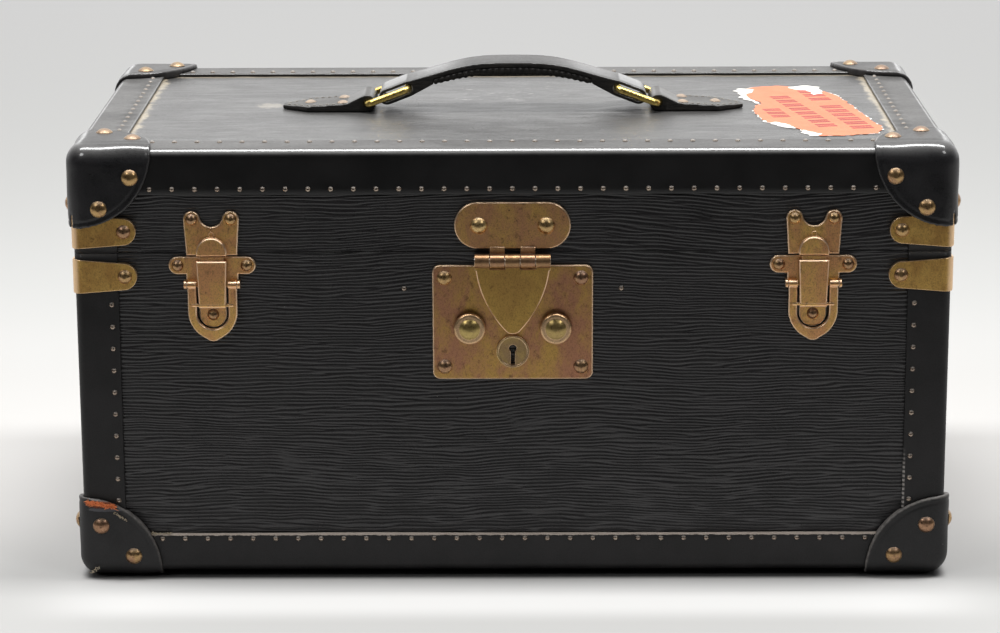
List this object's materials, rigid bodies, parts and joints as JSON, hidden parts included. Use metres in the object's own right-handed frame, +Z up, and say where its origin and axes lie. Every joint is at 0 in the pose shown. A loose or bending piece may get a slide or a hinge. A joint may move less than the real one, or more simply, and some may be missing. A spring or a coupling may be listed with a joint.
{
  "type": "vanity case",
  "caption": "Hard leather-covered vanity case with a lift lid, hasp lock, draw latches, corner caps, a lift-out tray and a top handle on brass links.",
  "frame": {"origin": "on the floor, under the middle of the case", "axes": "+X to the right seen from the front, +Y to the back, +Z up; the lock is on the -Y face"},
  "size_m": [0.4094, 0.2328, 0.226],
  "materials": {
    "grained_leather": "black leather pressed with fine wavy horizontal ridges",
    "smooth_leather": "smooth black leather, polished and worn",
    "wood": "raw plywood",
    "lining": "brushed cotton lining",
    "aged_brass": "aged brass with a reddish brown patina",
    "angle_brass": "satin ochre brass",
    "rivet_brass": "domed brass heads, rubbed bright on top",
    "polished_brass": "polished yellow brass",
    "steel": "plain steel",
    "mirror": "silvered glass"
  },
  "bodies": {
    "case": {"body_bottom_panel": "wood", "body_front_panel": "wood", "body_back_panel": "wood", "body_end_panels": "wood", "body_leather": "grained_leather", "body_lining": "lining", "body_base_binding": "smooth_leather", "body_corner_bindings": "smooth_leather", "body_brass_angles": "angle_brass", "body_corner_caps": "smooth_leather", "body_corner_rivets": "rivet_brass", "body_nails": "rivet_brass", "lock_plate": "aged_brass", "lock_plate_rivets": "rivet_brass", "key_escutcheon": "aged_brass", "lock_case": "steel", "latch_bases": "aged_brass", "body_small_rivets": "rivet_brass", "lever_pins": "steel", "hinge_leaves_body": "aged_brass", "hinge_pins": "steel", "tray_ledges": "wood"},
    "lid": {"lid_top_panel": "wood", "lid_front_panel": "wood", "lid_back_panel": "wood", "lid_end_panels": "wood", "lid_leather": "grained_leather", "lid_lining": "lining", "lid_edge_binding": "smooth_leather", "lid_brass_angles": "angle_brass", "lid_corner_caps": "smooth_leather", "lid_corner_rivets": "rivet_brass", "lid_nails": "rivet_brass", "hasp_plate": "aged_brass", "hasp_plate_rivets": "rivet_brass", "hasp_pin": "steel", "latch_catches": "aged_brass", "lid_small_rivets": "rivet_brass", "hinge_leaves_lid": "aged_brass", "handle_chapes": "smooth_leather", "chape_rivets": "rivet_brass", "mirror_frame": "rivet_brass", "mirror_glass": "mirror"},
    "tongue": {"hasp_tongue": "aged_brass"},
    "lever_left": {"latch_lever_left": "aged_brass"},
    "lever_right": {"latch_lever_right": "aged_brass"},
    "hook_left": {"latch_hook_left": "aged_brass"},
    "hook_right": {"latch_hook_right": "aged_brass"},
    "button_left": {"push_button_left": "aged_brass"},
    "button_right": {"push_button_right": "aged_brass"},
    "follower": {"key_follower": "steel"},
    "bolt": {"lock_bolt": "steel"},
    "handle": {"handle_strap": "smooth_leather", "handle_pad": "smooth_leather"},
    "link_left": {"handle_link_left": "polished_brass"},
    "link_right": {"handle_link_right": "polished_brass"},
    "tray": {"tray_floor": "lining", "tray_walls": "lining", "tray_dividers": "lining", "tray_tabs": "smooth_leather"}
  },
  "joints": [
    {"name": "lid_hinge", "type": "hinge", "parent": "case", "child": "lid", "pos_m": [0, 0.1128, 0.1555], "axis": [-1, 0, 0], "range_deg": [0, 105]},
    {"name": "hasp_swing", "type": "hinge", "parent": "lid", "child": "tongue", "pos_m": [0, -0.1128, 0.152], "axis": [-1, 0, 0], "range_deg": [0, 120]},
    {"name": "lever_left_swing", "type": "hinge", "parent": "case", "child": "lever_left", "pos_m": [-0.137, -0.1117, 0.141], "axis": [-1, 0, 0], "range_deg": [0, 110]},
    {"name": "hook_left_turn", "type": "hinge", "parent": "lever_left", "child": "hook_left", "pos_m": [-0.137, -0.1118, 0.1315], "axis": [1, 0, 0], "range_deg": [0, 128]},
    {"name": "button_left_press", "type": "slide", "parent": "case", "child": "button_left", "axis": [0, 1, 0], "range_m": [0, 0.0018], "stiffness_N_per_m": 600, "springref_m": -0.0008},
    {"name": "lever_right_swing", "type": "hinge", "parent": "case", "child": "lever_right", "pos_m": [0.137, -0.1117, 0.141], "axis": [-1, 0, 0], "range_deg": [0, 110]},
    {"name": "hook_right_turn", "type": "hinge", "parent": "lever_right", "child": "hook_right", "pos_m": [0.137, -0.1118, 0.1315], "axis": [1, 0, 0], "range_deg": [0, 128]},
    {"name": "button_right_press", "type": "slide", "parent": "case", "child": "button_right", "axis": [0, 1, 0], "range_m": [0, 0.0018], "stiffness_N_per_m": 600, "springref_m": -0.0008},
    {"name": "key_turn", "type": "hinge", "parent": "case", "child": "follower", "pos_m": [0, -0.105, 0.1092], "axis": [0, -1, 0], "range_deg": [0, 90]},
    {"name": "bolt_slide", "type": "slide", "parent": "case", "child": "bolt", "axis": [0, 0, 1], "range_m": [0, 0.004]},
    {"name": "handle_lift", "type": "slide", "parent": "lid", "child": "handle", "axis": [0, 0, 1], "range_m": [0, 0.014]},
    {"name": "link_left_turn", "type": "hinge", "parent": "lid", "child": "link_left", "pos_m": [-0.07, 0, 0.2063], "axis": [0, -1, 0], "range_deg": [0, 37]},
    {"name": "link_right_turn", "type": "hinge", "parent": "lid", "child": "link_right", "pos_m": [0.07, 0, 0.2063], "axis": [0, 1, 0], "range_deg": [0, 37]},
    {"name": "tray_lift", "type": "slide", "parent": "case", "child": "tray", "axis": [0, 0, 1], "range_m": [0, 0.03]}
  ],
  "couplings": [
    {"joint": "hook_left_turn", "follows": "lever_left_swing", "ratio": 1.15},
    {"joint": "hook_right_turn", "follows": "lever_right_swing", "ratio": 1.15},
    {"joint": "key_turn", "follows": "bolt_slide", "rad_per_m": 392.7},
    {"joint": "link_left_turn", "follows": "handle_lift", "rad_per_m": 45.5},
    {"joint": "link_right_turn", "follows": "handle_lift", "rad_per_m": 45.5}
  ]
}
